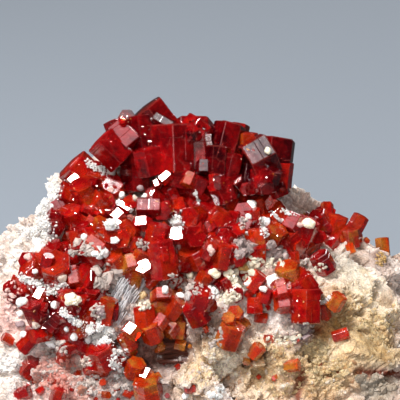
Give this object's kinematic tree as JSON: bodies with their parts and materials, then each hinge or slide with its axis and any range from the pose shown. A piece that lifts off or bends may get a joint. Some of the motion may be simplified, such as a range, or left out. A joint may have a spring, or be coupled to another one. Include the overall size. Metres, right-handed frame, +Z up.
{
  "type": "vanadinite crystals on rock matrix",
  "caption": "Display mineral specimen: clusters of short six-sided red crystals grown on a broken, granular pale rock with a flat sawn base.",
  "frame": {"origin": "centre of the flat base, on the plane that the specimen rests on", "axes": "+Z up, -Y towards the front display side, +X to the viewer's right"},
  "size_m": [0.0688, 0.0431, 0.0394],
  "materials": {
    "matrix_rock": "rough sugary broken rock, white, tan and pinkish zones",
    "deep_red_crystal": "glassy to resinous, translucent deep red",
    "orange_red_crystal": "glassy to resinous, translucent orange red"
  },
  "bodies": {
    "root": {"back_cluster": "deep_red_crystal", "back_cluster_2": "deep_red_crystal", "back_crystal": "deep_red_crystal", "back_crystal_2": "deep_red_crystal", "back_crystal_3": "deep_red_crystal", "back_crystal_4": "deep_red_crystal", "bottom_cluster": "orange_red_crystal", "bottom_left_cluster": "deep_red_crystal", "centre_cluster": "deep_red_crystal", "crown_cluster": "deep_red_crystal", "dark_middle_cluster": "deep_red_crystal", "far_right_cluster": "deep_red_crystal", "leaning_prism": "deep_red_crystal", "left_cluster": "deep_red_crystal", "left_cluster_2": "deep_red_crystal", "left_edge_cluster": "deep_red_crystal", "left_lower_cluster": "orange_red_crystal", "left_lower_cluster_2": "orange_red_crystal", "lower_box_cluster": "deep_red_crystal", "lower_box_cluster_2": "deep_red_crystal", "lower_centre_cluster": "orange_red_crystal", "lower_centre_cluster_2": "orange_red_crystal", "lower_left_cluster": "deep_red_crystal", "lower_left_cluster_2": "deep_red_crystal", "lower_left_orange": "orange_red_crystal", "lower_middle_cluster": "orange_red_crystal", "lower_right_cluster": "deep_red_crystal", "matrix": "matrix_rock", "mid_left_cluster": "orange_red_crystal", "middle_cluster": "deep_red_crystal", "middle_cluster_2": "deep_red_crystal", "middle_cluster_3": "deep_red_crystal", "middle_cluster_4": "deep_red_crystal", "orange_cluster": "orange_red_crystal", "right_cluster": "deep_red_crystal", "right_cluster_2": "deep_red_crystal", "scattered_crystal": "orange_red_crystal", "scattered_crystal_10": "orange_red_crystal", "scattered_crystal_11": "orange_red_crystal", "scattered_crystal_2": "orange_red_crystal", "scattered_crystal_3": "orange_red_crystal", "scattered_crystal_4": "orange_red_crystal", "scattered_crystal_5": "orange_red_crystal", "scattered_crystal_6": "orange_red_crystal", "scattered_crystal_7": "orange_red_crystal", "scattered_crystal_8": "orange_red_crystal", "scattered_crystal_9": "orange_red_crystal", "white_tipped_cluster": "deep_red_crystal"}
  },
  "joints": []
}
